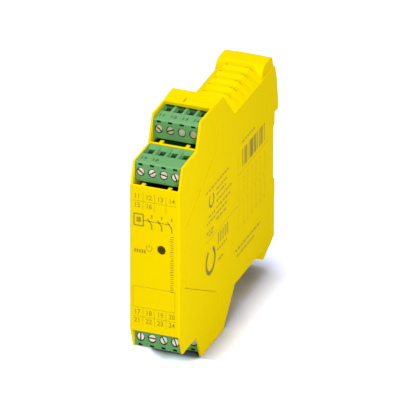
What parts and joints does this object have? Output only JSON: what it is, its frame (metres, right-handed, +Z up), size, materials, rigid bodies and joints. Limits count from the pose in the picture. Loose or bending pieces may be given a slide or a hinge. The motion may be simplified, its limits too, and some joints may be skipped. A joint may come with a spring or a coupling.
{
  "type": "safety relay",
  "caption": "Slim yellow safety relay for a top-hat rail, with stepped plug-in screw terminal blocks at top and bottom, louvred decks behind and a sprung rail latch.",
  "frame": {"origin": "on the plane that seats against the rail's front face, at mid height and mid width", "axes": "+X across the module to the right seen from the front, +Y back to the rail, +Z up"},
  "size_m": [0.0226, 0.1145, 0.099],
  "materials": {
    "housing": "fine moulded yellow",
    "terminal": "satin light green",
    "header": "satin green",
    "latch": "satin black",
    "spring": "drawn spring wire",
    "screw": "zinc plated, turned face",
    "cage": "zinc plated",
    "contact": "tinned",
    "pin": "tinned",
    "board": "green solder resist",
    "relay_can": "moulded black",
    "capacitor": "sleeved can",
    "suppressor": "dipped",
    "lens": "clear dark green, unlit",
    "led": "clear epoxy"
  },
  "bodies": {
    "case": {"front_cap": "housing", "rear_housing": "housing", "latch_spring": "spring", "circuit_board": "board", "relay_upper": "relay_can", "relay_lower": "relay_can", "smoothing_capacitor": "capacitor", "surge_suppressor": "suppressor", "status_lens": "lens", "status_led": "led", "header_top_front": "header", "pins_top_front": "pin", "header_top_rear": "header", "pins_top_rear": "pin", "header_bottom_front": "header", "pins_bottom_front": "pin", "header_bottom_rear": "header", "pins_bottom_rear": "pin"},
    "rail_latch": {"rail_latch": "latch"},
    "plug_top_front": {"plug_top_front": "terminal", "contacts_top_front": "contact"},
    "screw_top_front_1": {"screw_top_front_1": "screw"},
    "cage_top_front_1": {"cage_top_front_1": "cage"},
    "screw_top_front_2": {"screw_top_front_2": "screw"},
    "cage_top_front_2": {"cage_top_front_2": "cage"},
    "screw_top_front_3": {"screw_top_front_3": "screw"},
    "cage_top_front_3": {"cage_top_front_3": "cage"},
    "screw_top_front_4": {"screw_top_front_4": "screw"},
    "cage_top_front_4": {"cage_top_front_4": "cage"},
    "plug_top_rear": {"plug_top_rear": "terminal", "contacts_top_rear": "contact"},
    "screw_top_rear_1": {"screw_top_rear_1": "screw"},
    "cage_top_rear_1": {"cage_top_rear_1": "cage"},
    "screw_top_rear_2": {"screw_top_rear_2": "screw"},
    "cage_top_rear_2": {"cage_top_rear_2": "cage"},
    "screw_top_rear_3": {"screw_top_rear_3": "screw"},
    "cage_top_rear_3": {"cage_top_rear_3": "cage"},
    "screw_top_rear_4": {"screw_top_rear_4": "screw"},
    "cage_top_rear_4": {"cage_top_rear_4": "cage"},
    "plug_bottom_front": {"plug_bottom_front": "terminal", "contacts_bottom_front": "contact"},
    "screw_bottom_front_1": {"screw_bottom_front_1": "screw"},
    "cage_bottom_front_1": {"cage_bottom_front_1": "cage"},
    "screw_bottom_front_2": {"screw_bottom_front_2": "screw"},
    "cage_bottom_front_2": {"cage_bottom_front_2": "cage"},
    "screw_bottom_front_3": {"screw_bottom_front_3": "screw"},
    "cage_bottom_front_3": {"cage_bottom_front_3": "cage"},
    "screw_bottom_front_4": {"screw_bottom_front_4": "screw"},
    "cage_bottom_front_4": {"cage_bottom_front_4": "cage"},
    "plug_bottom_rear": {"plug_bottom_rear": "terminal", "contacts_bottom_rear": "contact"},
    "screw_bottom_rear_1": {"screw_bottom_rear_1": "screw"},
    "cage_bottom_rear_1": {"cage_bottom_rear_1": "cage"},
    "screw_bottom_rear_2": {"screw_bottom_rear_2": "screw"},
    "cage_bottom_rear_2": {"cage_bottom_rear_2": "cage"},
    "screw_bottom_rear_3": {"screw_bottom_rear_3": "screw"},
    "cage_bottom_rear_3": {"cage_bottom_rear_3": "cage"},
    "screw_bottom_rear_4": {"screw_bottom_rear_4": "screw"},
    "cage_bottom_rear_4": {"cage_bottom_rear_4": "cage"}
  },
  "joints": [
    {"name": "plug_top_front_slide", "type": "slide", "parent": "case", "child": "plug_top_front", "axis": [0, -1, 0], "range_m": [0, 0.012]},
    {"name": "screw_top_front_1_turn", "type": "hinge", "parent": "plug_top_front", "child": "screw_top_front_1", "pos_m": [-0.00762, -0.1066, 0.0347], "axis": [0, 1, 0], "range_deg": [0, 1600]},
    {"name": "cage_top_front_1_rise", "type": "slide", "parent": "plug_top_front", "child": "cage_top_front_1", "axis": [0, -1, 0], "range_m": [0, 0.002]},
    {"name": "screw_top_front_2_turn", "type": "hinge", "parent": "plug_top_front", "child": "screw_top_front_2", "pos_m": [-0.00254, -0.1066, 0.0347], "axis": [0, 1, 0], "range_deg": [0, 1600]},
    {"name": "cage_top_front_2_rise", "type": "slide", "parent": "plug_top_front", "child": "cage_top_front_2", "axis": [0, -1, 0], "range_m": [0, 0.002]},
    {"name": "screw_top_front_3_turn", "type": "hinge", "parent": "plug_top_front", "child": "screw_top_front_3", "pos_m": [0.00254, -0.1066, 0.0347], "axis": [0, 1, 0], "range_deg": [0, 1600]},
    {"name": "cage_top_front_3_rise", "type": "slide", "parent": "plug_top_front", "child": "cage_top_front_3", "axis": [0, -1, 0], "range_m": [0, 0.002]},
    {"name": "screw_top_front_4_turn", "type": "hinge", "parent": "plug_top_front", "child": "screw_top_front_4", "pos_m": [0.00762, -0.1066, 0.0347], "axis": [0, 1, 0], "range_deg": [0, 1600]},
    {"name": "cage_top_front_4_rise", "type": "slide", "parent": "plug_top_front", "child": "cage_top_front_4", "axis": [0, -1, 0], "range_m": [0, 0.002]},
    {"name": "plug_top_rear_slide", "type": "slide", "parent": "case", "child": "plug_top_rear", "axis": [0, -1, 0], "range_m": [0, 0.012]},
    {"name": "screw_top_rear_1_turn", "type": "hinge", "parent": "plug_top_rear", "child": "screw_top_rear_1", "pos_m": [-0.00762, -0.0858, 0.0436], "axis": [0, 1, 0], "range_deg": [0, 1600]},
    {"name": "cage_top_rear_1_rise", "type": "slide", "parent": "plug_top_rear", "child": "cage_top_rear_1", "axis": [0, -1, 0], "range_m": [0, 0.002]},
    {"name": "screw_top_rear_2_turn", "type": "hinge", "parent": "plug_top_rear", "child": "screw_top_rear_2", "pos_m": [-0.00254, -0.0858, 0.0436], "axis": [0, 1, 0], "range_deg": [0, 1600]},
    {"name": "cage_top_rear_2_rise", "type": "slide", "parent": "plug_top_rear", "child": "cage_top_rear_2", "axis": [0, -1, 0], "range_m": [0, 0.002]},
    {"name": "screw_top_rear_3_turn", "type": "hinge", "parent": "plug_top_rear", "child": "screw_top_rear_3", "pos_m": [0.00254, -0.0858, 0.0436], "axis": [0, 1, 0], "range_deg": [0, 1600]},
    {"name": "cage_top_rear_3_rise", "type": "slide", "parent": "plug_top_rear", "child": "cage_top_rear_3", "axis": [0, -1, 0], "range_m": [0, 0.002]},
    {"name": "screw_top_rear_4_turn", "type": "hinge", "parent": "plug_top_rear", "child": "screw_top_rear_4", "pos_m": [0.00762, -0.0858, 0.0436], "axis": [0, 1, 0], "range_deg": [0, 1600]},
    {"name": "cage_top_rear_4_rise", "type": "slide", "parent": "plug_top_rear", "child": "cage_top_rear_4", "axis": [0, -1, 0], "range_m": [0, 0.002]},
    {"name": "plug_bottom_front_slide", "type": "slide", "parent": "case", "child": "plug_bottom_front", "axis": [0, -1, 0], "range_m": [0, 0.012]},
    {"name": "screw_bottom_front_1_turn", "type": "hinge", "parent": "plug_bottom_front", "child": "screw_bottom_front_1", "pos_m": [-0.00762, -0.1066, -0.0347], "axis": [0, 1, 0], "range_deg": [0, 1600]},
    {"name": "cage_bottom_front_1_rise", "type": "slide", "parent": "plug_bottom_front", "child": "cage_bottom_front_1", "axis": [0, -1, 0], "range_m": [0, 0.002]},
    {"name": "screw_bottom_front_2_turn", "type": "hinge", "parent": "plug_bottom_front", "child": "screw_bottom_front_2", "pos_m": [-0.00254, -0.1066, -0.0347], "axis": [0, 1, 0], "range_deg": [0, 1600]},
    {"name": "cage_bottom_front_2_rise", "type": "slide", "parent": "plug_bottom_front", "child": "cage_bottom_front_2", "axis": [0, -1, 0], "range_m": [0, 0.002]},
    {"name": "screw_bottom_front_3_turn", "type": "hinge", "parent": "plug_bottom_front", "child": "screw_bottom_front_3", "pos_m": [0.00254, -0.1066, -0.0347], "axis": [0, 1, 0], "range_deg": [0, 1600]},
    {"name": "cage_bottom_front_3_rise", "type": "slide", "parent": "plug_bottom_front", "child": "cage_bottom_front_3", "axis": [0, -1, 0], "range_m": [0, 0.002]},
    {"name": "screw_bottom_front_4_turn", "type": "hinge", "parent": "plug_bottom_front", "child": "screw_bottom_front_4", "pos_m": [0.00762, -0.1066, -0.0347], "axis": [0, 1, 0], "range_deg": [0, 1600]},
    {"name": "cage_bottom_front_4_rise", "type": "slide", "parent": "plug_bottom_front", "child": "cage_bottom_front_4", "axis": [0, -1, 0], "range_m": [0, 0.002]},
    {"name": "plug_bottom_rear_slide", "type": "slide", "parent": "case", "child": "plug_bottom_rear", "axis": [0, -1, 0], "range_m": [0, 0.012]},
    {"name": "screw_bottom_rear_1_turn", "type": "hinge", "parent": "plug_bottom_rear", "child": "screw_bottom_rear_1", "pos_m": [-0.00762, -0.0858, -0.0436], "axis": [0, 1, 0], "range_deg": [0, 1600]},
    {"name": "cage_bottom_rear_1_rise", "type": "slide", "parent": "plug_bottom_rear", "child": "cage_bottom_rear_1", "axis": [0, -1, 0], "range_m": [0, 0.002]},
    {"name": "screw_bottom_rear_2_turn", "type": "hinge", "parent": "plug_bottom_rear", "child": "screw_bottom_rear_2", "pos_m": [-0.00254, -0.0858, -0.0436], "axis": [0, 1, 0], "range_deg": [0, 1600]},
    {"name": "cage_bottom_rear_2_rise", "type": "slide", "parent": "plug_bottom_rear", "child": "cage_bottom_rear_2", "axis": [0, -1, 0], "range_m": [0, 0.002]},
    {"name": "screw_bottom_rear_3_turn", "type": "hinge", "parent": "plug_bottom_rear", "child": "screw_bottom_rear_3", "pos_m": [0.00254, -0.0858, -0.0436], "axis": [0, 1, 0], "range_deg": [0, 1600]},
    {"name": "cage_bottom_rear_3_rise", "type": "slide", "parent": "plug_bottom_rear", "child": "cage_bottom_rear_3", "axis": [0, -1, 0], "range_m": [0, 0.002]},
    {"name": "screw_bottom_rear_4_turn", "type": "hinge", "parent": "plug_bottom_rear", "child": "screw_bottom_rear_4", "pos_m": [0.00762, -0.0858, -0.0436], "axis": [0, 1, 0], "range_deg": [0, 1600]},
    {"name": "cage_bottom_rear_4_rise", "type": "slide", "parent": "plug_bottom_rear", "child": "cage_bottom_rear_4", "axis": [0, -1, 0], "range_m": [0, 0.002]},
    {"name": "rail_latch_slide", "type": "slide", "parent": "case", "child": "rail_latch", "axis": [0, 0, -1], "range_m": [0, 0.0035], "stiffness_N_per_m": 400, "springref_m": -0.006, "deforming": ["latch_spring"]}
  ],
  "couplings": [
    {"joint": "screw_top_front_1_turn", "follows": "cage_top_front_1_rise", "rad_per_m": 13962},
    {"joint": "screw_top_front_2_turn", "follows": "cage_top_front_2_rise", "rad_per_m": 13962},
    {"joint": "screw_top_front_3_turn", "follows": "cage_top_front_3_rise", "rad_per_m": 13962},
    {"joint": "screw_top_front_4_turn", "follows": "cage_top_front_4_rise", "rad_per_m": 13962},
    {"joint": "screw_top_rear_1_turn", "follows": "cage_top_rear_1_rise", "rad_per_m": 13962},
    {"joint": "screw_top_rear_2_turn", "follows": "cage_top_rear_2_rise", "rad_per_m": 13962},
    {"joint": "screw_top_rear_3_turn", "follows": "cage_top_rear_3_rise", "rad_per_m": 13962},
    {"joint": "screw_top_rear_4_turn", "follows": "cage_top_rear_4_rise", "rad_per_m": 13962},
    {"joint": "screw_bottom_front_1_turn", "follows": "cage_bottom_front_1_rise", "rad_per_m": 13962},
    {"joint": "screw_bottom_front_2_turn", "follows": "cage_bottom_front_2_rise", "rad_per_m": 13962},
    {"joint": "screw_bottom_front_3_turn", "follows": "cage_bottom_front_3_rise", "rad_per_m": 13962},
    {"joint": "screw_bottom_front_4_turn", "follows": "cage_bottom_front_4_rise", "rad_per_m": 13962},
    {"joint": "screw_bottom_rear_1_turn", "follows": "cage_bottom_rear_1_rise", "rad_per_m": 13962},
    {"joint": "screw_bottom_rear_2_turn", "follows": "cage_bottom_rear_2_rise", "rad_per_m": 13962},
    {"joint": "screw_bottom_rear_3_turn", "follows": "cage_bottom_rear_3_rise", "rad_per_m": 13962},
    {"joint": "screw_bottom_rear_4_turn", "follows": "cage_bottom_rear_4_rise", "rad_per_m": 13962}
  ]
}
